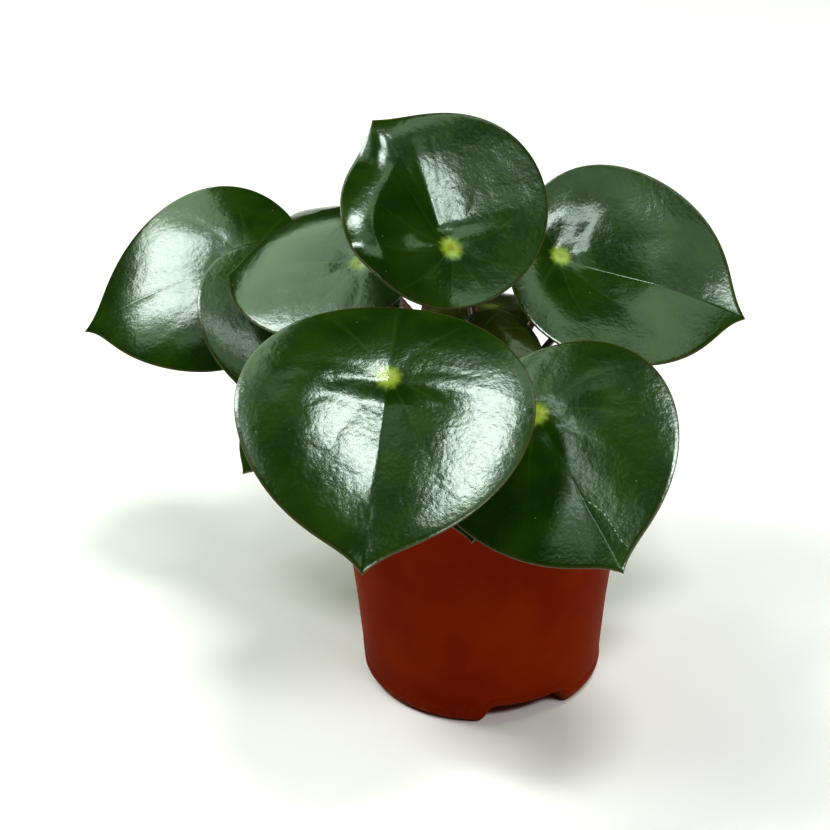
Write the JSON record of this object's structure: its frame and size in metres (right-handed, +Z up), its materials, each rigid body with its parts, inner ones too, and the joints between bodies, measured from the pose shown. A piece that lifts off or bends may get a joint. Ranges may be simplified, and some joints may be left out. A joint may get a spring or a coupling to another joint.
{
  "type": "potted raindrop peperomia",
  "caption": "Round thick-leaved houseplant with glossy drip-tipped leaves on maroon stalks, in a plain terracotta-coloured nursery pot.",
  "frame": {"origin": "centre of the pot's foot, on the surface that it stands on", "axes": "+Z up along the pot's axis; the side that the picture shows faces -Y"},
  "size_m": [0.2467, 0.2529, 0.1969],
  "materials": {
    "terracotta_plastic": "satin orange-brown plastic",
    "peat": "rough dark peat",
    "maroon_stem": "smooth succulent maroon brown",
    "leaf_green": "thick glossy dark green leaf"
  },
  "bodies": {
    "root": {"pot": "terracotta_plastic", "soil": "peat", "stem": "maroon_stem", "leaf_top": "leaf_green", "leaf_right_high": "leaf_green", "leaf_left_far": "leaf_green", "leaf_left_high": "leaf_green", "leaf_left_mid": "leaf_green", "leaf_front": "leaf_green", "leaf_front_right": "leaf_green", "leaf_inner": "leaf_green", "leaf_back_left": "leaf_green", "leaf_left_low": "leaf_green", "leaf_back_right": "leaf_green", "leaf_back_high": "leaf_green", "leaf_front_low": "leaf_green", "leaf_right_low": "leaf_green", "leaf_back_low": "leaf_green", "leaf_back_left_low": "leaf_green", "leaf_young": "leaf_green"}
  },
  "joints": []
}
